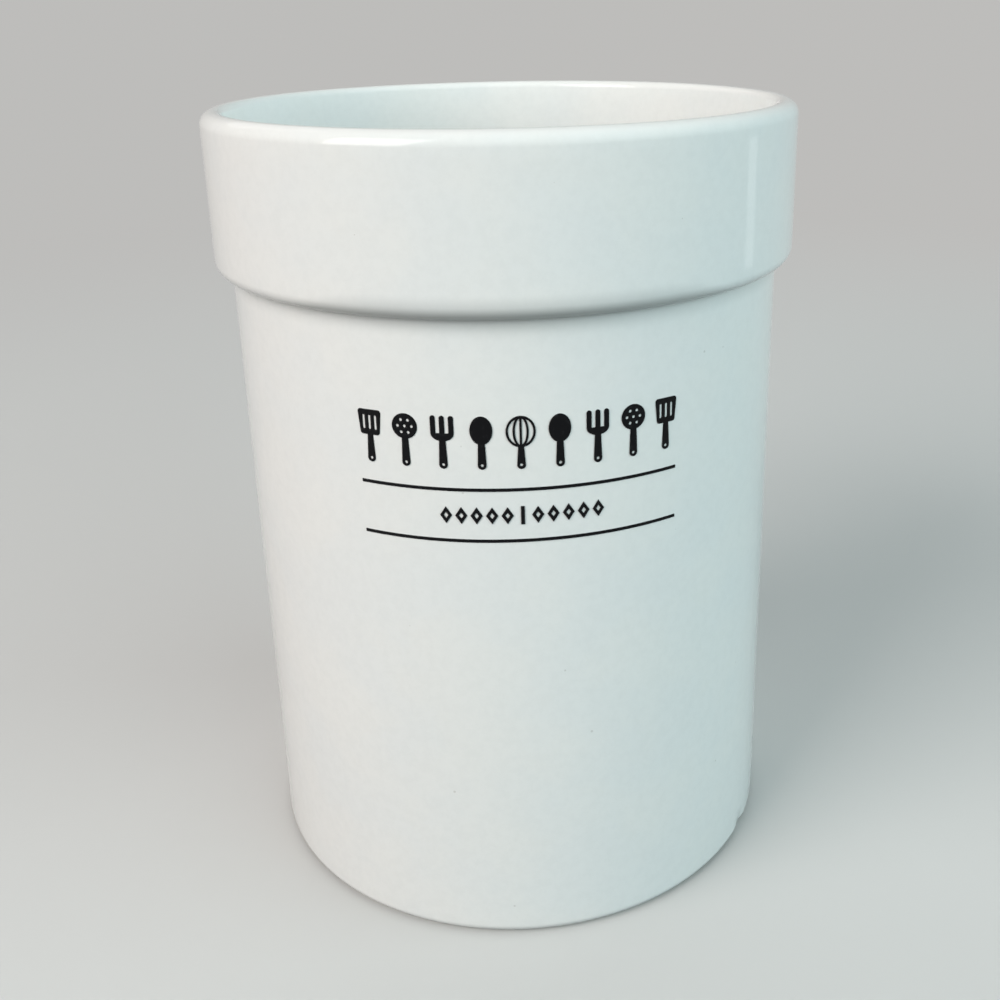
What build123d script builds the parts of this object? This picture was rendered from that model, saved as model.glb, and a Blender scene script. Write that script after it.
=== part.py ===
from build123d import *
import os
from math import degrees

# Utensil crock of glazed stoneware, slip cast in one piece, standing on its foot.
# Millimetres, +Z up, origin at the middle of the foot, the print faces -Y.

# Outside of the crock, measured over the glaze
total_height = 178.0
collar_radius = 66.0
collar_height = 34.5
collar_step = 3.6
collar_edge_round = 3.0
collar_crease_round = 0.5
foot_round = 2.4

# Wall, lip, floor and inside, measured over the glaze
wall = 4.8
lip_outer_round = 3.0
lip_inner_round = 1.7
floor_height = 7.0
floor_round = 9.0
inside_slope_height = 8.0
inside_slope_round = 7.0
least_flat = 0.1

# Foot ring, which is wiped clean before firing, and the recess inside it
foot_ring_width = 6.0
recess_depth = 1.2
recess_slope = 1.4
bare_foot_height = 0.9

# Glaze and print
glaze_thickness = 0.4
print_thickness = 0.15

# Row of utensils in the print
utensil_drop = 19.1
utensil_height = 10.9
utensil_pitch = 7.6
handle_width = 1.7
neck_width = 1.1
hang_hole = 0.6
head_height = 5.2
whisk_width = 5.8
whisk_height = 6.4
whisk_wire = 0.46
spoon_width = 4.4
spoon_height = 5.8
fork_width = 4.6
tine_gap = 0.8
tine_length = 3.6
skimmer_width = 5.2
skimmer_hole = 0.62
skimmer_hole_ring = 1.45
skimmer_hole_count = 6
turner_width = 5.2
turner_base_width = 4.2
turner_corner = 0.6
turner_slot_width = 0.55
turner_slot_length = 3.0
turner_slot_pitch = 1.3

# Rules and the small row between them
rule_gap = 4.35
rule_spacing = 10.95
rule_thickness = 0.65
rule_length = 66.0
lozenge_width = 2.4
lozenge_height = 3.6
lozenge_stroke = 0.62
lozenge_pitch = 3.05
lozenges_each_side = 5
divider_width = 0.75
divider_height = 3.9
divider_gap = 3.0

# Places and limits that follow from the sizes
body_radius = collar_radius - collar_step
collar_bottom = total_height - collar_height
collar_edge = min(collar_edge_round, collar_step - collar_crease_round - least_flat)
lip_fit = min(1, (wall - least_flat) / (lip_outer_round + lip_inner_round))
lip_outer = lip_outer_round * lip_fit
lip_inner = lip_inner_round * lip_fit
foot_inner = body_radius - foot_round - foot_ring_width
recess_radius = foot_inner - recess_slope
utensil_base = collar_bottom - utensil_drop - utensil_height
upper_rule = utensil_base - rule_gap
lower_rule = upper_rule - rule_spacing
small_row = (upper_rule + lower_rule) / 2


def half_section(inset):
    """Right half of the crock's section: inset 0 gives the glazed surface, the glaze's thickness gives the clay."""
    outer_body = body_radius - inset
    outer_collar = collar_radius - inset
    inner_collar = collar_radius - wall + inset
    inner_body = body_radius - wall + inset
    corners = [
        (0, recess_depth + inset, 0),
        (recess_radius, recess_depth + inset, 0),
        (foot_inner, 0, 0),
        (outer_body, 0, foot_round - inset),
        (outer_body, collar_bottom + inset, collar_crease_round + inset),
        (outer_collar, collar_bottom + inset, collar_edge - inset),
        (outer_collar, total_height - inset, lip_outer - inset),
        (inner_collar, total_height - inset, lip_inner - inset),
        (inner_collar, collar_bottom + inside_slope_height, inside_slope_round + inset),
        (inner_body, collar_bottom, inside_slope_round - inset),
        (inner_body, floor_height - inset, floor_round + inset),
        (0, floor_height - inset, 0),
    ]
    points = [(x, z) for x, z, round_off in corners]
    rounds = [round_off for x, z, round_off in corners]
    return make_face(FilletPolyline(*points, radius=rounds, close=True))


def turned(section):
    """A section drawn as radius and height, turned once round the crock's axis."""
    return revolve(Plane.XZ * section, axis=Axis.Z)


def save(node, solid):
    export_step(solid, f"parts/{node}.step")


# Clay and glaze
def stoneware_body():
    return turned(half_section(glaze_thickness))


def glaze_coat():
    """The coat from just above the foot, over the lip and down to the middle of the inside floor."""
    coat = half_section(0) - half_section(glaze_thickness)
    bare_foot = Rectangle(collar_radius, bare_foot_height, align=Align.MIN)
    recess = Rectangle(foot_inner, recess_depth + 2 * glaze_thickness, align=Align.MIN)
    return turned(coat - bare_foot - recess)


def glaze_base():
    """The round patch of glaze on the roof of the recess under the foot."""
    middle = recess_depth + glaze_thickness / 2
    return Pos(0, 0, middle) * Cylinder(recess_radius, glaze_thickness)


# Utensils of the print, drawn flat with the head up and the handle's end at height 0
def handle(neck):
    """A tapered handle with a round end and a hanging hole, up to the height of the neck."""
    end = handle_width / 2
    side = neck_width / 2
    shaft = make_face(Polyline((-end, end), (end, end), (side, neck), (-side, neck), close=True))
    return shaft + Pos(0, end) * Circle(end) - Pos(0, end) * Circle(hang_hole / 2)


def spoon():
    middle = utensil_height - spoon_height / 2
    return handle(middle) + Pos(0, middle) * Ellipse(spoon_width / 2, spoon_height / 2)


def fork():
    """Three round-ended tines on a rounded shoulder."""
    tine = (fork_width - 2 * tine_gap) / 3
    root = utensil_height - tine_length
    gap = Pos(0, root + tine_length / 2) * Rectangle(tine_gap, tine_length)
    prong = Pos(0, root) * Rectangle(tine, tine_length - tine / 2, align=(Align.CENTER, Align.MIN))
    prong += Pos(0, utensil_height - tine / 2) * Circle(tine / 2)
    head = handle(root) + Pos(0, root) * Ellipse(fork_width / 2, head_height - tine_length)
    for side in (-1, 1):
        head -= Pos(side * (tine + tine_gap) / 2, 0) * gap
    for side in (-1, 0, 1):
        head += Pos(side * (tine + tine_gap), 0) * prong
    return head


def skimmer():
    """A round blade with a ring of holes."""
    middle = utensil_height - skimmer_width / 2
    head = handle(middle) + Pos(0, middle) * Circle(skimmer_width / 2)
    hole = Circle(skimmer_hole / 2)
    head -= Pos(0, middle) * hole
    for place in PolarLocations(skimmer_hole_ring, skimmer_hole_count):
        head -= Pos(0, middle) * place * hole
    return head


def turner():
    """A slotted blade, wider at its tip."""
    top = utensil_height
    base = utensil_height - head_height
    tip = turner_width / 2
    heel = turner_base_width / 2
    blade = make_face(Polyline((-heel, base), (heel, base), (tip, top), (-tip, top), close=True))
    blade = fillet(blade.vertices(), turner_corner)
    slot = Rot(0, 0, 90) * SlotOverall(turner_slot_length, turner_slot_width)
    for side in (-1, 0, 1):
        blade -= Pos(side * turner_slot_pitch, (top + base) / 2) * slot
    return handle(base + turner_corner) + blade


def whisk():
    """A balloon of wires: two loops and a middle wire, which all meet at the tip and at the handle."""
    tall = whisk_height / 2
    outer_loop = whisk_width / 2
    inner_loop = (outer_loop + whisk_wire / 2) / 2
    wires = Rectangle(whisk_wire, whisk_height - whisk_wire)
    for wide in (outer_loop, inner_loop):
        wires += Ellipse(wide, tall) - Ellipse(wide - whisk_wire, tall - whisk_wire)
    return handle(utensil_height - whisk_height + whisk_wire) + Pos(0, utensil_height - tall) * wires


def lozenge():
    """An open lozenge."""
    wide = lozenge_width / 2
    tall = lozenge_height / 2
    shrink = 1 - lozenge_stroke * (wide**2 + tall**2) ** 0.5 / (wide * tall)
    outline = Polyline((-wide, 0), (0, -tall), (wide, 0), (0, tall), close=True)
    return make_face(outline) - scale(make_face(outline), shrink)


# The print follows the round wall
def laid_on_wall(drawing, arc, height):
    """A flat drawing laid on the glazed wall, its zero point at an arc length from the middle of the print."""
    slab = extrude(Plane.XZ * Pos(0, height) * drawing, collar_radius)
    ring = Circle(body_radius + print_thickness) - Circle(body_radius)
    skin = extrude(ring, total_height)
    return Rot(0, 0, degrees(arc / body_radius)) * (slab & skin)


def rule(height):
    """A thin band of print, level all the way."""
    sweep = degrees(rule_length / body_radius)
    band = Pos(body_radius + print_thickness / 2, height) * Rectangle(print_thickness, rule_thickness)
    return Rot(0, 0, -90 - sweep / 2) * revolve(Plane.XZ * band, axis=Axis.Z, revolution_arc=sweep)


os.makedirs("parts", exist_ok=True)

save("stoneware_body", stoneware_body())
save("glaze_coat", glaze_coat())
save("glaze_base", glaze_base())

save("print_whisk", laid_on_wall(whisk(), 0, utensil_base))
utensils = {"spoon": spoon(), "fork": fork(), "skimmer": skimmer(), "turner": turner()}
for side, sign in (("left", -1), ("right", 1)):
    arc = 0
    for name, drawing in utensils.items():
        arc += sign * utensil_pitch
        save(f"print_{name}_{side}", laid_on_wall(drawing, arc, utensil_base))

save("print_rule_upper", rule(upper_rule))
save("print_rule_lower", rule(lower_rule))
save("print_divider", laid_on_wall(Rectangle(divider_width, divider_height), 0, small_row))
for side, sign in (("left", -1), ("right", 1)):
    for count in range(lozenges_each_side):
        arc = sign * (divider_gap + count * lozenge_pitch)
        save(f"print_lozenge_{side}_{count + 1}", laid_on_wall(lozenge(), arc, small_row))
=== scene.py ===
from math import asin, ceil, cos, pi, radians, sin, tan

import bpy
from mathutils import Matrix, Vector
from mathutils.geometry import delaunay_2d_cdt


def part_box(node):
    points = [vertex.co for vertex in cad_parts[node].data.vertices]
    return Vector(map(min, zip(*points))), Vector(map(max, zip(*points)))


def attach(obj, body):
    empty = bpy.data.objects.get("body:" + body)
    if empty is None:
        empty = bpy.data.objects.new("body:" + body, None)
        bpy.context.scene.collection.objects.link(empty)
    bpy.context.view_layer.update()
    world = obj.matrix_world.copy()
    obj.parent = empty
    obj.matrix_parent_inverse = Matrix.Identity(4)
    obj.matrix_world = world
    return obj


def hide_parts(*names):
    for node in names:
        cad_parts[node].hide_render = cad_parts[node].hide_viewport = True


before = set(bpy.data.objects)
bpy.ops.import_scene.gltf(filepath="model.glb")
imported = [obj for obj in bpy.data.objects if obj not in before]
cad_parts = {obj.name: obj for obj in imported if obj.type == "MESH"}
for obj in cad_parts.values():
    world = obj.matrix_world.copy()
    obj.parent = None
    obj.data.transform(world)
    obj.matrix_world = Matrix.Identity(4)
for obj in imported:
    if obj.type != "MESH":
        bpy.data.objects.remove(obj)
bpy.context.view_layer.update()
scene = bpy.context.scene

# The camera
# It looks down over the near lip at the far inside of the collar, from close by. Angles are in
# degrees, lengths in metres, the picture's measures in pixels and the sensor's side in millimetres.
camera_distance = 0.2699
camera_height = 0.1990
camera_pitch = 19.335
camera_yaw = 2.455
camera_roll = 0.954
turn_from_print = 1.58
picture_side = 1000
focal_pixels = 1157.3
middle_x = 557.7
middle_y = 406.0
sensor_side = 36.0
nearest_seen = 0.01

lens_data = bpy.data.cameras.new("camera")
lens_data.sensor_width = sensor_side
lens_data.lens = focal_pixels / picture_side * sensor_side
lens_data.shift_x = 0.5 - middle_x / picture_side
lens_data.shift_y = middle_y / picture_side - 0.5
lens_data.clip_start = nearest_seen
camera = bpy.data.objects.new("camera", lens_data)
scene.collection.objects.link(camera)
scene.camera = camera
camera.matrix_world = (
    Matrix.Rotation(radians(-turn_from_print), 4, "Z")
    @ Matrix.Translation((0, -camera_distance, camera_height))
    @ Matrix.Rotation(radians(-camera_yaw), 4, "Z")
    @ Matrix.Rotation(radians(90 - camera_pitch), 4, "X")
    @ Matrix.Rotation(radians(-camera_roll), 4, "Z")
)

# The floor
# A wide, plain, pale floor of painted board. Seen straight or in the glaze it is pale, and it throws
# little light back up at the crock. Far from the crock it fades into the backdrop's even tone.
floor_reach = 6.0
floor_sides = 96
floor_tone = (0.64, 0.635, 0.62, 1)
floor_bounce = (0.05, 0.05, 0.05, 1)
fade_start = 0.25
fade_end = 0.9
haze_strength = 0.80


def node(tree, kind, values=None, **settings):
    """Adds a node and fills its inputs: a socket is linked, and anything else is a value."""
    made = tree.nodes.new(kind)
    for name, value in settings.items():
        setattr(made, name, value)
    for key, value in (values or {}).items():
        if isinstance(value, bpy.types.NodeSocket):
            tree.links.new(value, made.inputs[key])
        else:
            made.inputs[key].default_value = value
    return made


def maths(tree, operation, a, b=0.0):
    """The result of one sum on two numbers or sockets."""
    return node(tree, "ShaderNodeMath", {0: a, 1: b}, operation=operation).outputs[0]


def vector_maths(tree, operation, a, b=(0, 0, 0), result="Vector"):
    """The result of one sum on two vectors."""
    return node(tree, "ShaderNodeVectorMath", {0: a, 1: b}, operation=operation).outputs[result]


def scaled(tree, vector, factor):
    """A vector times a number."""
    values = {0: vector, "Scale": factor}
    return node(tree, "ShaderNodeVectorMath", values, operation="SCALE").outputs["Vector"]


def ramp(tree, value, start, end, low=0.0, high=1.0):
    """A smooth step from low to high, as the value goes from start to end."""
    values = {"Value": value, "From Min": start, "From Max": end, "To Min": low, "To Max": high}
    return node(tree, "ShaderNodeMapRange", values, interpolation_type="SMOOTHSTEP").outputs[0]


def blank_material(name):
    """A material with nothing in it but its output node."""
    made = bpy.data.materials.new(name)
    made.use_nodes = True
    made.node_tree.nodes.clear()
    return made, made.node_tree, node(made.node_tree, "ShaderNodeOutputMaterial")


def looked_at(tree):
    """One on a ray from the camera, a mirror or glass, and nought on a ray that only brings light."""
    rays = node(tree, "ShaderNodeLightPath").outputs
    turned_back = maths(tree, "MAXIMUM", rays["Is Glossy Ray"], rays["Is Transmission Ray"])
    return maths(tree, "MAXIMUM", rays["Is Camera Ray"], turned_back)


floor_paint, tree, output = blank_material("floor_paint")
board = node(tree, "ShaderNodeBsdfDiffuse", {"Color": floor_tone}).outputs[0]
dim_board = node(tree, "ShaderNodeBsdfDiffuse", {"Color": floor_bounce}).outputs[0]
haze = node(tree, "ShaderNodeEmission", {"Color": floor_tone, "Strength": haze_strength}).outputs[0]
place = node(tree, "ShaderNodeTexCoord").outputs["Object"]
faded = ramp(tree, vector_maths(tree, "LENGTH", place, result="Value"), fade_start, fade_end)
shown = node(tree, "ShaderNodeMixShader", {0: faded, 1: board, 2: haze}).outputs[0]
painted = node(tree, "ShaderNodeMixShader", {0: looked_at(tree), 1: dim_board, 2: shown}).outputs[0]
tree.links.new(painted, output.inputs["Surface"])

rim_points = [
    (floor_reach * cos(2 * pi * k / floor_sides), floor_reach * sin(2 * pi * k / floor_sides), 0)
    for k in range(floor_sides)
]
floor_mesh = bpy.data.meshes.new("floor")
floor_mesh.from_pydata(rim_points, [], [range(floor_sides)])
floor_mesh.materials.append(floor_paint)
floor = bpy.data.objects.new("floor", floor_mesh)
scene.collection.objects.link(floor)

# The light
# Soft daylight of a studio: a large, slightly warm softbox on the left, a wide and low cool one on
# the right, weaker ones behind and overhead, and a faint surround. Only the sheen softbox, the small
# rim one and a low strip mirror in the glaze. Azimuth 0 is in front of the print, 90 is to its right.
surround_tone = (0.90, 0.98, 1.0, 1)
surround_strength = 0.15
aim_height = 0.12
softbox_distance = 1.6
strip_distance = 0.6
warm_light = (1.0, 0.95, 0.925)
cool_light = (0.775, 0.97, 1.0)
back_light = (0.96, 0.99, 1.0)
white_light = (1.0, 1.0, 1.0)
# Each softbox has its azimuth, elevation, distance, size across and up, power and tone, and if it mirrors
softboxes = {
    "key_softbox": (-56, 24, softbox_distance, (1.28, 1.28), 16.0, warm_light, False),
    "sheen_softbox": (-52, 29, softbox_distance, (0.92, 1.20), 11.5, warm_light, True),
    "fill_softbox": (55, 18, softbox_distance, (2.4, 1.0), 25.8, cool_light, False),
    "back_softbox": (170, 14, softbox_distance, (2.4, 0.8), 13.0, back_light, False),
    "top_softbox": (0, 90, softbox_distance, (1.28, 1.28), 1.5, white_light, False),
    "rim_softbox": (-145, 40, softbox_distance, (0.9, 0.9), 1.1, white_light, True),
    "strip_softbox": (99, -5, strip_distance, (0.055, 0.10), 0.012, back_light, True),
}

world = bpy.data.worlds.new("studio")
scene.world = world
world.use_nodes = True
tree = world.node_tree
tree.nodes.clear()
around = node(tree, "ShaderNodeBackground", {"Color": surround_tone, "Strength": surround_strength})
backdrop = node(tree, "ShaderNodeBackground", {"Color": floor_tone, "Strength": haze_strength})
shares = {0: looked_at(tree), 1: around.outputs[0], 2: backdrop.outputs[0]}
both = node(tree, "ShaderNodeMixShader", shares).outputs[0]
node(tree, "ShaderNodeOutputWorld", {"Surface": both})

for name, (azimuth, elevation, distance, size, power, light_tone, mirrored) in softboxes.items():
    lamp_data = bpy.data.lights.new(name, "AREA")
    lamp_data.shape = "RECTANGLE"
    lamp_data.size, lamp_data.size_y = size
    lamp_data.energy = power
    lamp_data.color = light_tone
    lamp = bpy.data.objects.new(name, lamp_data)
    lamp.visible_camera = False
    lamp.visible_glossy = mirrored
    scene.collection.objects.link(lamp)
    lamp.matrix_world = (
        Matrix.Translation((0, 0, aim_height))
        @ Matrix.Rotation(radians(azimuth), 4, "Z")
        @ Matrix.Rotation(radians(90 - elevation), 4, "X")
        @ Matrix.Translation((0, 0, distance))
    )

scene.view_settings.view_transform = "Standard"

# The glaze
# A glassy white glaze, 0.4 mm thick, which the crock was dipped in. It covers everything but the foot
# ring and is uneven as a slip-cast wall is. Its colour carries painted shade in the crease under the
# collar and painted light on the lip's top.
coat_low, coat_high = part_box("glaze_coat")
clay_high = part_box("stoneware_body")[1]
divider_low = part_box("print_divider")[0]

total_height = coat_high.z
collar_radius = coat_high.x
glaze_thickness = coat_high.z - clay_high.z
print_thickness = 0.00015
body_radius = -divider_low.y - print_thickness
collar_bottom = 0.1435
collar_edge = 0.0030
crease_round = 0.0005
wall = 0.0048
lip_outer_round = 0.0030
lip_inner_round = 0.0017
floor_height = 0.0070
floor_round = 0.0090
inside_slope = 0.0080
inside_slope_round = 0.0070
foot_round = 0.0024
glaze_edge_height = coat_low.z
glaze_edge_round = 0.00022

# How finely the turned shapes are meshed, and how uneven the wall is
turns_round = 264
arc_steps = 12
hidden_arc_steps = 3
seen_step = 0.0024
hidden_step = 0.0200
swell_height = 0.00010
swell_size = 0.038
swell_seed = 4.0
swell_roughness = 0.35
still_height = 0.0015
lively_height = 0.0150
lathe_arm = 1.0
merge_distance = 0.000002

# The glaze's colours, then what varies them: scales to the metre, ranges, shares and reaches in metres
glaze_white = (0.800, 0.806, 0.782, 1)
glaze_cool = (0.780, 0.796, 0.782, 1)
# A dark grey that the random grain leans to, also used as painted shade in the crease
grain_and_shade_grey = (0.420, 0.438, 0.425, 1)
# A lighter tone for painted light on the lip's top
lip_light_tone = (0.830, 0.826, 0.800, 1)
speck_brown = (0.300, 0.270, 0.235, 1)
smallest_dot = 0.4
dot_core = 0.5
cloud_scale = 45.0
cloud_range = (0.35, 0.65)
grain_scale = 420.0
grain_roughness = 0.7
grain_range = (0.35, 0.7)
grain_share = 0.06
# Reaches and shares of the painted shade in the crease, wider at the front
wall_shade_reach = 0.0042
wall_shade_share = 0.5
collar_shade_places = (-0.044, -0.0615)
collar_shade_reaches = (0.0032, 0.0066)
collar_shade_core = 0.42
collar_shade_share = 0.85
underside_range = (-0.0004, 0.0001)
outside_range = (-0.0016, -0.0008)
# Where the painted light on the lip begins and ends below the top, and its share
lip_light_from = 0.0016
lip_light_to = 0.0002
lip_light_share = 0.6
iron_specks = {"Spacing": 0.018, "Dot": 0.00022, "Share": 0.22}
iron_share = 0.7
glaze_pinholes = {"Spacing": 0.006, "Dot": 0.00030, "Share": 0.4}
pinhole_share = 0.3
pinhole_depth = 0.00003
handled_scale = 70.0
handled_range = (0.3, 0.75)
glaze_roughness = (0.045, 0.10)
glass_ior = 1.52


def node_group(name, kind, inputs, outputs):
    """A node group with named sockets, each a label, a kind and, for an input, a first value."""
    group = bpy.data.node_groups.new(name, kind)
    for way, sockets in (("INPUT", inputs), ("OUTPUT", outputs)):
        for label, socket_kind, *value in sockets:
            made = group.interface.new_socket(name=label, in_out=way, socket_type=f"NodeSocket{socket_kind}")
            if value:
                made.default_value = value[0]
    return group, node(group, "NodeGroupInput").outputs, node(group, "NodeGroupOutput").inputs


def use(tree, group, values):
    """Places a node group in a tree, with its own values, and gives back its outputs."""
    kind = tree.bl_idname.replace("NodeTree", "NodeGroup")
    made = node(tree, kind, None, node_tree=group)
    for label, value in values.items():
        if isinstance(value, bpy.types.NodeSocket):
            tree.links.new(value, made.inputs[label])
        else:
            made.inputs[label].default_value = value
    return made.outputs


# How far the wall stands out or in at a place: slow swells, which fade out near the foot
uneven_wall, given, result = node_group(
    "uneven_wall",
    "GeometryNodeTree",
    [("Place", "Vector"), ("Swell", "Float", swell_height), ("Swell Size", "Float", swell_size)],
    [("Lift", "Float")],
)
swell = node(
    uneven_wall,
    "ShaderNodeTexNoise",
    {
        "Vector": given["Place"],
        "W": swell_seed,
        "Scale": maths(uneven_wall, "DIVIDE", 1.0, given["Swell Size"]),
        "Detail": 1.0,
        "Roughness": swell_roughness,
    },
    noise_dimensions="4D",
).outputs["Fac"]
centred = maths(uneven_wall, "MULTIPLY", maths(uneven_wall, "SUBTRACT", swell, 0.5), 2.0)
level = node(uneven_wall, "ShaderNodeSeparateXYZ", {0: given["Place"]}).outputs["Z"]
clear_of_foot = ramp(uneven_wall, level, still_height, lively_height)
full_lift = maths(uneven_wall, "MULTIPLY", centred, given["Swell"])
uneven_wall.links.new(maths(uneven_wall, "MULTIPLY", full_lift, clear_of_foot), result["Lift"])

# A section, drawn as corners, is rounded, divided and turned once round the crock's axis
turned, given, result = node_group(
    "turned",
    "GeometryNodeTree",
    [
        ("Section", "Geometry"),
        ("Turns Round", "Int", turns_round),
        ("Swell", "Float", swell_height),
        ("Dent Place", "Vector"),
        ("Dent Depth", "Float"),
        ("Dent Reach", "Float", 0.004),
        ("Material", "Material"),
    ],
    [("Geometry", "Geometry")],
)


def drawn(tree, label, kind="FLOAT"):
    """An attribute that was drawn with the section."""
    return node(tree, "GeometryNodeInputNamedAttribute", {"Name": label}, data_type=kind).outputs["Attribute"]


line = node(turned, "GeometryNodeMeshToCurve", {"Mesh": given["Section"]}).outputs["Curve"]
rounded = node(
    turned,
    "GeometryNodeFilletCurve",
    {"Curve": line, "Count": drawn(turned, "arc_steps", "INT"), "Radius": drawn(turned, "round_off")},
    mode="POLY",
).outputs["Curve"]
here = node(turned, "GeometryNodeInputPosition").outputs["Position"]
number = node(turned, "GeometryNodeInputIndex").outputs["Index"]
there = node(
    turned,
    "GeometryNodeFieldAtIndex",
    {"Value": here, "Index": maths(turned, "ADD", number, 1.0)},
    data_type="FLOAT_VECTOR",
).outputs["Value"]
stretch = vector_maths(turned, "DISTANCE", here, there, "Value")
cuts = maths(turned, "FLOOR", maths(turned, "DIVIDE", stretch, drawn(turned, "longest_step")))
divided = node(turned, "GeometryNodeSubdivideCurve", {"Curve": rounded, "Cuts": cuts}).outputs["Curve"]
circle = node(
    turned,
    "GeometryNodeCurvePrimitiveCircle",
    {"Resolution": given["Turns Round"], "Radius": lathe_arm},
).outputs["Curve"]
swept = node(turned, "GeometryNodeCurveToMesh", {"Curve": circle, "Profile Curve": divided}).outputs["Mesh"]
closed = node(
    turned, "GeometryNodeMergeByDistance", {"Geometry": swept, "Distance": merge_distance}
).outputs["Geometry"]

facing = node(turned, "GeometryNodeInputNormal").outputs["Normal"]
wave = use(turned, uneven_wall, {"Place": here, "Swell": given["Swell"]})["Lift"]
from_dent = vector_maths(turned, "DISTANCE", here, given["Dent Place"], "Value")
dent_share = ramp(turned, from_dent, given["Dent Reach"], 0.0)
dent = maths(turned, "MULTIPLY", dent_share, given["Dent Depth"])
outward = vector_maths(turned, "NORMALIZE", vector_maths(turned, "MULTIPLY", here, (1, 1, 0)))
pressed_in = scaled(turned, outward, maths(turned, "MULTIPLY", dent, -1.0))
moved = vector_maths(turned, "ADD", scaled(turned, facing, wave), pressed_in)
uneven = node(turned, "GeometryNodeSetPosition", {"Geometry": closed, "Offset": moved}).outputs["Geometry"]
smooth = node(turned, "GeometryNodeSetShadeSmooth", {"Geometry": uneven}).outputs["Geometry"]
real = node(turned, "GeometryNodeRealizeInstances", {"Geometry": smooth}).outputs["Geometry"]
coloured = node(turned, "GeometryNodeSetMaterial", {"Geometry": real, "Material": given["Material"]})
turned.links.new(coloured.outputs["Geometry"], result["Geometry"])


def section(name, corners):
    """A section as a line of corners, each with its radius, height, round-off and whether it shows.

    The turned tree sweeps the drawing with its X outwards and its Y downwards.
    """
    mesh = bpy.data.meshes.new(name)
    points = [(radius - lathe_arm, -height, 0) for radius, height, round_off, shows in corners]
    mesh.from_pydata(points, [(k, k + 1) for k in range(len(points) - 1)], [])
    columns = {
        "round_off": ("FLOAT", [corner[2] for corner in corners]),
        "arc_steps": ("INT", [arc_steps if corner[3] else hidden_arc_steps for corner in corners]),
        "longest_step": ("FLOAT", [seen_step if corner[3] else hidden_step for corner in corners]),
    }
    for label, (kind, values) in columns.items():
        mesh.attributes.new(label, kind, "POINT").data.foreach_set("value", values)
    return mesh


def from_nodes(name, drawing, tree, settings):
    """Runs a tree on a drawing, with the tree's inputs set, and keeps the result as a plain mesh."""
    piece = bpy.data.objects.new(name, drawing)
    scene.collection.objects.link(piece)
    modifier = piece.modifiers.new("shape", "NODES")
    modifier.node_group = tree
    identifiers = {s.name: s.identifier for s in tree.interface.items_tree if s.in_out == "INPUT"}
    for label, value in settings.items():
        modifier[identifiers[label]] = value
    graph = bpy.context.evaluated_depsgraph_get()
    made = bpy.data.meshes.new_from_object(piece.evaluated_get(graph), depsgraph=graph)
    piece.modifiers.clear()
    piece.data = made
    bpy.data.meshes.remove(drawing)
    made.name = name
    return piece


# Small dots scattered at random, as iron specks and pinholes are
specks, given, result = node_group(
    "specks",
    "ShaderNodeTree",
    [("Place", "Vector"), ("Spacing", "Float", 0.02), ("Dot", "Float", 0.0002), ("Share", "Float", 0.3)],
    [("Mask", "Float")],
)
cells = node(
    specks,
    "ShaderNodeTexVoronoi",
    {"Vector": given["Place"], "Scale": maths(specks, "DIVIDE", 1.0, given["Spacing"])},
).outputs
across = maths(specks, "MULTIPLY", cells["Distance"], given["Spacing"])
lot = node(specks, "ShaderNodeSeparateColor", {0: cells["Color"]}).outputs
dot_size = maths(specks, "MULTIPLY", given["Dot"], maths(specks, "ADD", lot["Green"], smallest_dot))
inside_dot = ramp(specks, across, dot_size, maths(specks, "MULTIPLY", dot_size, dot_core))
chosen = maths(specks, "LESS_THAN", lot["Red"], given["Share"])
specks.links.new(maths(specks, "MULTIPLY", inside_dot, chosen), result["Mask"])


def noise(tree, place, scale, detail, roughness=0.5):
    """Soft random clouds from 0 to 1, as many to the metre as the scale says."""
    values = {"Vector": place, "Scale": scale, "Detail": detail, "Roughness": roughness}
    return node(tree, "ShaderNodeTexNoise", values).outputs["Fac"]


# The faint orange peel of a fired surface, as a height in metres
orange_peel, given, result = node_group(
    "orange_peel",
    "ShaderNodeTree",
    [
        ("Place", "Vector"),
        ("Coarse Size", "Float", 0.006),
        ("Coarse Height", "Float", 0.00001),
        ("Fine Size", "Float", 0.0012),
        ("Fine Height", "Float", 0.000001),
    ],
    [("Height", "Float")],
)
heights = []
for grade in ("Coarse", "Fine"):
    per_metre = maths(orange_peel, "DIVIDE", 1.0, given[f"{grade} Size"])
    bumps = noise(orange_peel, given["Place"], per_metre, detail=1.0)
    heights.append(maths(orange_peel, "MULTIPLY", bumps, given[f"{grade} Height"]))
orange_peel.links.new(maths(orange_peel, "ADD", *heights), result["Height"])


def mix_colour(tree, share, first, second):
    """One colour that goes over into another by a share. Inputs 6 and 7 are the node's two colours."""
    return node(tree, "ShaderNodeMix", {0: share, 6: first, 7: second}, data_type="RGBA").outputs[2]


white_glaze, tree, output = blank_material("white_glaze")
place = node(tree, "ShaderNodeTexCoord").outputs["Object"]
axes = node(tree, "ShaderNodeSeparateXYZ", {0: place}).outputs
radius = vector_maths(tree, "LENGTH", vector_maths(tree, "MULTIPLY", place, (1, 1, 0)), result="Value")

clouds = noise(tree, place, cloud_scale, detail=3.0)
tone = mix_colour(tree, ramp(tree, clouds, *cloud_range), glaze_white, glaze_cool)
grain = noise(tree, place, grain_scale, detail=4.0, roughness=grain_roughness)
tone = mix_colour(tree, ramp(tree, grain, *grain_range, 0.0, grain_share), tone, grain_and_shade_grey)
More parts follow.
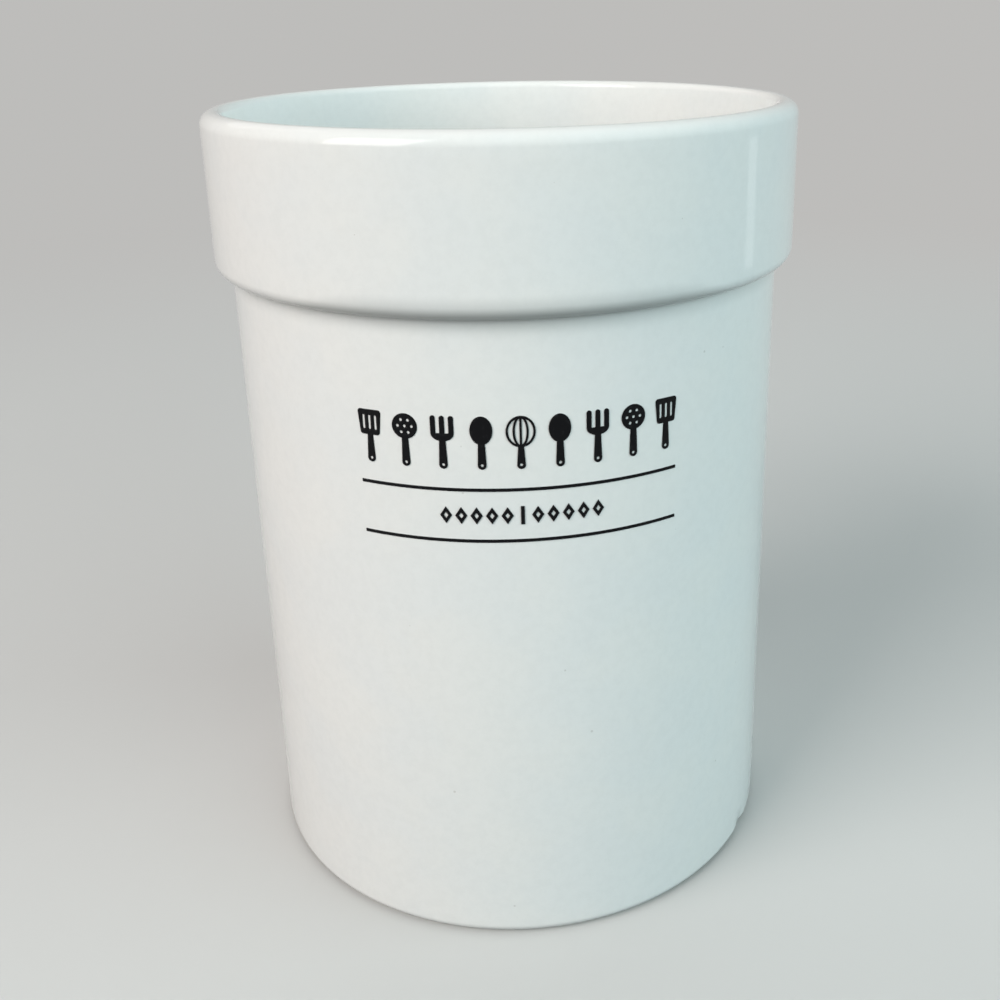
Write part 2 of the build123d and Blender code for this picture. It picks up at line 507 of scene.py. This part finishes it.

# Painted shade in the crease, down the wall and up the collar's underside, most at the front
from_wall = maths(tree, "SUBTRACT", radius, body_radius)
above_crease = maths(tree, "SUBTRACT", axes["Z"], collar_bottom)
to_crease = node(tree, "ShaderNodeCombineXYZ", {"X": from_wall, "Y": above_crease}).outputs[0]
from_crease = vector_maths(tree, "LENGTH", to_crease, result="Value")
on_wall = ramp(tree, from_crease, wall_shade_reach, 0.0, 0.0, wall_shade_share)
reach = ramp(tree, axes["Y"], *collar_shade_places, *collar_shade_reaches)
core = maths(tree, "MULTIPLY", reach, collar_shade_core)
on_underside = ramp(tree, from_crease, reach, core, 0.0, collar_shade_share)
underneath = ramp(tree, above_crease, *underside_range)
outside = ramp(tree, from_wall, *outside_range)
crease_shade = node(tree, "ShaderNodeMix", {0: underneath, 2: on_wall, 3: on_underside}).outputs[0]
crease_shade = maths(tree, "MULTIPLY", crease_shade, outside)
tone = mix_colour(tree, crease_shade, tone, grain_and_shade_grey)

# Painted light: the glaze is lighter at the lip's top, where light falls on it
lip_light = ramp(tree, axes["Z"], total_height - lip_light_from, total_height - lip_light_to, 0.0, lip_light_share)
tone = mix_colour(tree, lip_light, tone, lip_light_tone)

iron = use(tree, specks, {"Place": place, **iron_specks})["Mask"]
tone = mix_colour(tree, maths(tree, "MULTIPLY", iron, iron_share), tone, speck_brown)
pinholes = use(tree, specks, {"Place": place, **glaze_pinholes})["Mask"]
tone = mix_colour(tree, maths(tree, "MULTIPLY", pinholes, pinhole_share), tone, speck_brown)

handled = noise(tree, place, handled_scale, detail=4.0)
shine = ramp(tree, handled, *handled_range, *glaze_roughness)
peel = use(tree, orange_peel, {"Place": place})["Height"]
height = maths(tree, "SUBTRACT", peel, maths(tree, "MULTIPLY", pinholes, pinhole_depth))
relief = node(tree, "ShaderNodeBump", {"Height": height, "Distance": 1.0}).outputs["Normal"]
glass = node(
    tree,
    "ShaderNodeBsdfPrincipled",
    {"Base Color": tone, "Roughness": shine, "IOR": glass_ior, "Normal": relief},
).outputs[0]
tree.links.new(glass, output.inputs["Surface"])


def arc_corner(middle_radius, middle_height, arc_radius, drop):
    """The corner of an arc that turns from straight out down to a drop below its middle, and its end."""
    angle = asin(drop / arc_radius)
    corner = (middle_radius + arc_radius, middle_height - arc_radius * tan(angle / 2))
    return corner, (middle_radius + arc_radius * cos(angle), middle_height - drop)


def wall_corners(inset, shows):
    """Corners of the crock's surface from the crease up, over the lip and down to the inside floor."""
    inner_collar = collar_radius - wall + inset
    inner_body = body_radius - wall + inset
    return [
        (body_radius - inset, collar_bottom + inset, crease_round + inset, shows),
        (collar_radius - inset, collar_bottom + inset, collar_edge - inset, shows),
        (collar_radius - inset, total_height - inset, lip_outer_round - inset, shows),
        (inner_collar, total_height - inset, lip_inner_round - inset, shows),
        (inner_collar, collar_bottom + inside_slope, inside_slope_round + inset, shows),
        (inner_body, collar_bottom, inside_slope_round - inset, shows),
        (inner_body, floor_height - inset, floor_round + inset, shows),
        (0, floor_height - inset, 0, shows),
    ]


foot_middle = body_radius - foot_round
clay_foot_round = foot_round - glaze_thickness
edge_drop = foot_round - glaze_edge_height
coat_corner, coat_end = arc_corner(foot_middle, foot_round, foot_round, edge_drop)
clay_corner, clay_end = arc_corner(foot_middle, foot_round, clay_foot_round, edge_drop)
coat_section = wall_corners(0, True)[::-1]
coat_section += [
    (*coat_corner, foot_round, True),
    (*coat_end, glaze_edge_round, True),
    (*clay_end, 0, False),
    (*clay_corner, clay_foot_round, False),
]
coat_section += wall_corners(glaze_thickness, False)

dent_place = (0.0530, -0.0312, 0.0012)
dent_depth = 0.0007
dent_reach = 0.0038
dent = {"Dent Place": dent_place, "Dent Depth": dent_depth, "Dent Reach": dent_reach}

glaze = from_nodes("glaze", section("glaze_section", coat_section), turned, {"Material": white_glaze, **dent})
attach(glaze, "root")
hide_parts("glaze_coat")

# The stoneware body
# The slip-cast clay itself. It shows only where it stands: a foot ring that was wiped clean of glaze
# before firing, with the slope up to the recess inside it. Bare, matt and a little gritty.
recess_slope = 0.0014
foot_corner_round = 0.0002

# The clay's colours, then its patches, flecks, grit and the rings that the sponge left
clay_cream = (0.640, 0.590, 0.500, 1)
clay_grey = (0.560, 0.525, 0.455, 1)
clay_fleck = (0.230, 0.190, 0.150, 1)
clay_worn = (0.690, 0.660, 0.590, 1)
patch_scale = 160.0
patch_range = (0.35, 0.65)
worn_height = 0.0003
worn_share = 0.5
clay_flecks = {"Spacing": 0.0022, "Dot": 0.00016, "Share": 0.35}
fleck_share = 0.75
grit_scale = 2600.0
grit_height = 0.00002
sponge_scale = 2200.0
sponge_height = 0.000012
dry_range = (0.3, 0.7)
clay_roughness = (0.78, 0.92)

bare_clay, tree, output = blank_material("bare_clay")
place = node(tree, "ShaderNodeTexCoord").outputs["Object"]
axes = node(tree, "ShaderNodeSeparateXYZ", {0: place}).outputs
radius = vector_maths(tree, "LENGTH", vector_maths(tree, "MULTIPLY", place, (1, 1, 0)), result="Value")
patches = noise(tree, place, patch_scale, detail=5.0)
tone = mix_colour(tree, ramp(tree, patches, *patch_range), clay_cream, clay_grey)
standing = ramp(tree, axes["Z"], worn_height, 0.0, 0.0, worn_share)
tone = mix_colour(tree, standing, tone, clay_worn)
fleck = use(tree, specks, {"Place": place, **clay_flecks})["Mask"]
tone = mix_colour(tree, maths(tree, "MULTIPLY", fleck, fleck_share), tone, clay_fleck)
grit = noise(tree, place, grit_scale, detail=3.0)
ring_values = {"W": radius, "Scale": sponge_scale, "Detail": 2.0}
rings = node(tree, "ShaderNodeTexNoise", ring_values, noise_dimensions="1D").outputs["Fac"]
wiped = maths(tree, "MULTIPLY", rings, sponge_height)
height = maths(tree, "ADD", maths(tree, "MULTIPLY", grit, grit_height), wiped)
relief = node(tree, "ShaderNodeBump", {"Height": height, "Distance": 1.0}).outputs["Normal"]
dry = ramp(tree, patches, *dry_range, *clay_roughness)
clay = node(
    tree, "ShaderNodeBsdfPrincipled", {"Base Color": tone, "Roughness": dry, "Normal": relief}
).outputs[0]
tree.links.new(clay, output.inputs["Surface"])

patch_low, patch_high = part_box("glaze_base")
recess_radius = patch_high.x
recess_roof = patch_high.z
ring_inner = recess_radius + recess_slope
clay_section = wall_corners(glaze_thickness, False)[::-1]
clay_section += [
    (body_radius - glaze_thickness, 0, clay_foot_round, True),
    (ring_inner, 0, foot_corner_round, True),
    (recess_radius, recess_roof, 0, True),
    (0, recess_roof, 0, False),
]
stoneware_settings = {"Material": bare_clay, "Swell": 0.0, **dent}
stoneware = from_nodes("stoneware", section("stoneware_section", clay_section), turned, stoneware_settings)
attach(stoneware, "root")
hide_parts("stoneware_body")

# The glaze under the foot
# A round pool of the same glaze on the roof of the recess, inside the wiped foot ring. It ends in a
# rolled edge, where the sponge stopped.
patch_edge_round = 0.00025
patch_section = [
    (0, patch_high.z, 0, False),
    (patch_high.x, patch_high.z, 0, True),
    (patch_high.x, patch_low.z, patch_edge_round, True),
    (0, patch_low.z, 0, True),
]
base_glaze = from_nodes(
    "base_glaze", section("patch_section", patch_section), turned, {"Material": white_glaze, "Swell": 0.0}
)
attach(base_glaze, "root")
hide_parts("glaze_base")

# The print
# A black enamel transfer, fired onto the glaze: a row of kitchen utensils over two rules, with a small
# row of lozenges between them. Every figure is a separate island of enamel that follows the wall.
utensil_base = 0.1135
utensil_height = 0.0109
utensil_pitch = 0.0076
handle_width = 0.0017
neck_width = 0.0011
hang_hole = 0.0006
head_height = 0.0052
whisk_width = 0.0058
whisk_height = 0.0064
whisk_wire = 0.00046
spoon_width = 0.0044
spoon_height = 0.0058
fork_width = 0.0046
tine_gap = 0.0008
tine_length = 0.0036
skimmer_width = 0.0052
skimmer_hole = 0.00062
skimmer_hole_ring = 0.00145
skimmer_hole_count = 6
turner_width = 0.0052
turner_base_width = 0.0042
turner_corner = 0.0006
turner_slot_width = 0.00055
turner_slot_length = 0.0030
turner_slot_pitch = 0.0013
rule_gap = 0.00435
rule_spacing = 0.01095
rule_thickness = 0.00065
rule_length = 0.0660
lozenge_width = 0.0024
lozenge_height = 0.0036
lozenge_stroke = 0.00062
lozenge_pitch = 0.00305
lozenges_each_side = 5
divider_width = 0.00075
divider_height = 0.0039
divider_gap = 0.0030
upper_rule = utensil_base - rule_gap
lower_rule = upper_rule - rule_spacing
small_row = (upper_rule + lower_rule) / 2

# How finely the figures are meshed
mesh_step = 0.00045
curve_steps = 56
corner_steps = 6
slot_round_share = 0.98
least_gap = 1e-8

# The enamel's colours where it is thick and thin, and its gloss
enamel_tone = (0.004, 0.004, 0.005, 1)
enamel_thin = (0.012, 0.012, 0.013, 1)
enamel_gloss = 0.12
density_scale = 900.0
thin_range = (0.55, 0.8)
shine_range = (0.3, 0.7)
enamel_roughness = (0.16, 0.26)
enamel_peel = {"Coarse Size": 0.004, "Fine Size": 0.0005}


def oval(across, up, half_width, half_height):
    """Points of an ellipse about a middle."""
    turns = [2 * pi * k / curve_steps for k in range(curve_steps)]
    return [(across + half_width * cos(t), up + half_height * sin(t)) for t in turns]


def bar(across, up, width, height):
    """Corners of an upright rectangle about a middle."""
    x, y = width / 2, height / 2
    return [(across - x, up - y), (across + x, up - y), (across + x, up + y), (across - x, up + y)]


def rounded_outline(corners, round_off):
    """Points of a closed outline, with each corner rounded off."""
    points = []
    for k, corner in enumerate(corners):
        here = Vector(corner)
        back = (Vector(corners[k - 1]) - here).normalized()
        onward = (Vector(corners[(k + 1) % len(corners)]) - here).normalized()
        half_angle = back.angle(onward) / 2
        inward = (back + onward).normalized()
        middle = here + inward * round_off / sin(half_angle)
        turn = pi / 2 - half_angle
        for step in range(corner_steps + 1):
            spoke = Matrix.Rotation(turn * (2 * step / corner_steps - 1), 2) @ -inward
            points.append(tuple(middle + spoke * round_off))
    return points


def handle(neck):
    """A tapered handle with a round end and a hanging hole, up to the height of the neck."""
    end = handle_width / 2
    side = neck_width / 2
    shaft = [(-end, end), (end, end), (side, neck), (-side, neck)]
    hole = hang_hole / 2
    return [(True, shaft), (True, oval(0, end, end, end)), (False, oval(0, end, hole, hole))]


def whisk():
    """A balloon of wires: two loops and a middle wire, which all meet at the tip and at the handle."""
    tall = whisk_height / 2
    middle = utensil_height - tall
    outer_loop = whisk_width / 2
    inner_loop = (outer_loop + whisk_wire / 2) / 2
    figure = []
    for wide in (outer_loop, inner_loop):
        figure.append((True, oval(0, middle, wide, tall)))
        figure.append((False, oval(0, middle, wide - whisk_wire, tall - whisk_wire)))
    figure.append((True, bar(0, middle, whisk_wire, whisk_height - whisk_wire)))
    return figure + handle(utensil_height - whisk_height + whisk_wire)


def spoon():
    """An oval bowl on a handle."""
    middle = utensil_height - spoon_height / 2
    return handle(middle) + [(True, oval(0, middle, spoon_width / 2, spoon_height / 2))]


def fork():
    """Three round-ended tines on a rounded shoulder."""
    tine = (fork_width - 2 * tine_gap) / 3
    root = utensil_height - tine_length
    figure = handle(root) + [(True, oval(0, root, fork_width / 2, head_height - tine_length))]
    for side in (-1, 1):
        place = side * (tine + tine_gap) / 2
        figure.append((False, bar(place, root + tine_length / 2, tine_gap, tine_length)))
    for side in (-1, 0, 1):
        place = side * (tine + tine_gap)
        straight = tine_length - tine / 2
        figure.append((True, bar(place, root + straight / 2, tine, straight)))
        figure.append((True, oval(place, utensil_height - tine / 2, tine / 2, tine / 2)))
    return figure


def skimmer():
    """A round blade with a ring of holes."""
    middle = utensil_height - skimmer_width / 2
    hole = skimmer_hole / 2
    figure = handle(middle) + [(True, oval(0, middle, skimmer_width / 2, skimmer_width / 2))]
    figure.append((False, oval(0, middle, hole, hole)))
    for count in range(skimmer_hole_count):
        turn = 2 * pi * count / skimmer_hole_count
        place = (skimmer_hole_ring * cos(turn), middle + skimmer_hole_ring * sin(turn))
        figure.append((False, oval(*place, hole, hole)))
    return figure


def turner():
    """A slotted blade, wider at its tip."""
    base = utensil_height - head_height
    tip = turner_width / 2
    heel = turner_base_width / 2
    blade = [(-heel, base), (heel, base), (tip, utensil_height), (-tip, utensil_height)]
    figure = handle(base + turner_corner) + [(True, rounded_outline(blade, turner_corner))]
    slot_end = turner_slot_width / 2
    for side in (-1, 0, 1):
        place = side * turner_slot_pitch
        slot = bar(place, base + head_height / 2, turner_slot_width, turner_slot_length)
        figure.append((False, rounded_outline(slot, slot_end * slot_round_share)))
    return figure


def lozenge():
    """An open lozenge with a stroke of one width."""
    wide = lozenge_width / 2
    tall = lozenge_height / 2
    inner = 1 - lozenge_stroke * (wide**2 + tall**2) ** 0.5 / (wide * tall)
    outline = [(-wide, 0), (0, -tall), (wide, 0), (0, tall)]
    return [(True, outline), (False, [(x * inner, y * inner) for x, y in outline])]


def encloses(outline, x, y):
    """True if a point lies inside a closed outline."""
    inside = False
    for (x1, y1), (x2, y2) in zip(outline, outline[1:] + outline[:1]):
        if (y1 > y) != (y2 > y) and x < x1 + (y - y1) * (x2 - x1) / (y2 - y1):
            inside = not inside
    return inside


def in_short_steps(outline):
    """The points of a closed outline, with its long sides divided so that they can follow the wall."""
    points = []
    for k, corner in enumerate(outline):
        here = Vector(corner)
        onward = Vector(outline[(k + 1) % len(outline)])
        steps = ceil((onward - here).length / mesh_step)
        points += [here.lerp(onward, step / steps) for step in range(steps)]
    return points


def filled(name, figure):
    """A flat mesh of small triangles inside a figure, whose outlines add or cut in their order."""
    points = []
    edges = []
    for adds, outline in figure:
        first = len(points)
        points += in_short_steps(outline)
        edges += [(k, k + 1) for k in range(first, len(points) - 1)]
        edges.append((len(points) - 1, first))
    low = Vector((min(p.x for p in points), min(p.y for p in points)))
    high = Vector((max(p.x for p in points), max(p.y for p in points)))
    columns = ceil((high.x - low.x) / mesh_step)
    rows = ceil((high.y - low.y) / mesh_step)
    for column in range(columns):
        for row in range(rows):
            share = Vector(((column + 0.5) / columns, (row + 0.5) / rows))
            points.append(low + (high - low) * share)
    meshed = delaunay_2d_cdt(points, edges, [], 0, least_gap)
    points = meshed[0]
    triangles = meshed[2]
    kept = []
    for triangle in triangles:
        x, y = sum((points[k] for k in triangle), Vector((0, 0))) / 3
        inside = [adds for adds, outline in figure if encloses(outline, x, y)]
        if inside and inside[-1]:
            kept.append(triangle)
    used = sorted({k for triangle in kept for k in triangle})
    number = {k: count for count, k in enumerate(used)}
    mesh = bpy.data.meshes.new(name)
    mesh.from_pydata([(*points[k], 0) for k in used], [], [[number[k] for k in t] for t in kept])
    return mesh


# A flat figure is bent round the uneven wall, at an arc length from the print's middle, and thickened
laid_on_wall, given, result = node_group(
    "laid_on_wall",
    "GeometryNodeTree",
    [
        ("Figure", "Geometry"),
        ("Arc", "Float"),
        ("Height", "Float"),
        ("Wall Radius", "Float", body_radius),
        ("Thickness", "Float", print_thickness),
        ("Material", "Material"),
    ],
    [("Geometry", "Geometry")],
)
here = node(laid_on_wall, "GeometryNodeInputPosition").outputs["Position"]
axes = node(laid_on_wall, "ShaderNodeSeparateXYZ", {0: here}).outputs
arc = maths(laid_on_wall, "ADD", axes["X"], given["Arc"])
turn = maths(laid_on_wall, "DIVIDE", arc, given["Wall Radius"])
across = maths(laid_on_wall, "MULTIPLY", maths(laid_on_wall, "SINE", turn), given["Wall Radius"])
back = maths(laid_on_wall, "MULTIPLY", maths(laid_on_wall, "COSINE", turn), given["Wall Radius"])
forward = maths(laid_on_wall, "MULTIPLY", back, -1.0)
up = maths(laid_on_wall, "ADD", axes["Y"], given["Height"])
on_wall = node(laid_on_wall, "ShaderNodeCombineXYZ", {"X": across, "Y": forward, "Z": up}).outputs[0]
outward = vector_maths(laid_on_wall, "NORMALIZE", vector_maths(laid_on_wall, "MULTIPLY", on_wall, (1, 1, 0)))
lift = use(laid_on_wall, uneven_wall, {"Place": on_wall})["Lift"]
place = vector_maths(laid_on_wall, "ADD", on_wall, scaled(laid_on_wall, outward, lift))
bent = node(laid_on_wall, "GeometryNodeSetPosition", {"Geometry": given["Figure"], "Position": place})
bent = bent.outputs["Geometry"]
away = vector_maths(laid_on_wall, "NORMALIZE", vector_maths(laid_on_wall, "MULTIPLY", here, (1, 1, 0)))
raised = node(
    laid_on_wall,
    "GeometryNodeExtrudeMesh",
    {"Mesh": bent, "Offset": away, "Offset Scale": given["Thickness"], "Individual": False},
)
smooth = node(laid_on_wall, "GeometryNodeSetShadeSmooth", {"Geometry": raised.outputs["Mesh"]})
smooth_top = node(
    laid_on_wall,
    "GeometryNodeSetShadeSmooth",
    {"Geometry": smooth.outputs["Geometry"], "Selection": raised.outputs["Side"], "Shade Smooth": False},
).outputs["Geometry"]
under = node(laid_on_wall, "GeometryNodeFlipFaces", {"Mesh": bent}).outputs["Mesh"]
shell = node(laid_on_wall, "GeometryNodeJoinGeometry")
laid_on_wall.links.new(smooth_top, shell.inputs[0])
laid_on_wall.links.new(under, shell.inputs[0])
closed = node(
    laid_on_wall,
    "GeometryNodeMergeByDistance",
    {"Geometry": shell.outputs["Geometry"], "Distance": merge_distance},
).outputs["Geometry"]
real = node(laid_on_wall, "GeometryNodeRealizeInstances", {"Geometry": closed}).outputs["Geometry"]
coloured = node(laid_on_wall, "GeometryNodeSetMaterial", {"Geometry": real, "Material": given["Material"]})
laid_on_wall.links.new(coloured.outputs["Geometry"], result["Geometry"])

black_enamel, tree, output = blank_material("black_enamel")
place = node(tree, "ShaderNodeTexCoord").outputs["Object"]
density = noise(tree, place, density_scale, detail=3.0)
tone = mix_colour(tree, ramp(tree, density, *thin_range), enamel_tone, enamel_thin)
shine = ramp(tree, density, *shine_range, *enamel_roughness)
peel = use(tree, orange_peel, {"Place": place, **enamel_peel})["Height"]
relief = node(tree, "ShaderNodeBump", {"Height": peel, "Distance": 1.0}).outputs["Normal"]
enamel = node(
    tree,
    "ShaderNodeBsdfPrincipled",
    {"Base Color": tone, "Roughness": shine, "Specular IOR Level": enamel_gloss, "Normal": relief},
).outputs[0]
tree.links.new(enamel, output.inputs["Surface"])


def printed(name, figure, arc, height):
    """A figure of the print, laid on the wall in place of its plain CAD node."""
    settings = {"Arc": arc, "Height": height, "Material": black_enamel}
    piece = from_nodes(f"enamel_{name}", filled(name, figure), laid_on_wall, settings)
    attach(piece, "root")
    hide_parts(f"print_{name}")


printed("whisk", whisk(), 0.0, utensil_base)
utensils = {"spoon": spoon(), "fork": fork(), "skimmer": skimmer(), "turner": turner()}
for side, sign in (("left", -1), ("right", 1)):
    for count, (name, figure) in enumerate(utensils.items()):
        printed(f"{name}_{side}", figure, sign * utensil_pitch * (count + 1), utensil_base)

rule = [(True, bar(0, 0, rule_length, rule_thickness))]
printed("rule_upper", rule, 0.0, upper_rule)
printed("rule_lower", rule, 0.0, lower_rule)
printed("divider", [(True, bar(0, 0, divider_width, divider_height))], 0.0, small_row)
for side, sign in (("left", -1), ("right", 1)):
    for count in range(lozenges_each_side):
        arc = sign * (divider_gap + count * lozenge_pitch)
        printed(f"lozenge_{side}_{count + 1}", lozenge(), arc, small_row)
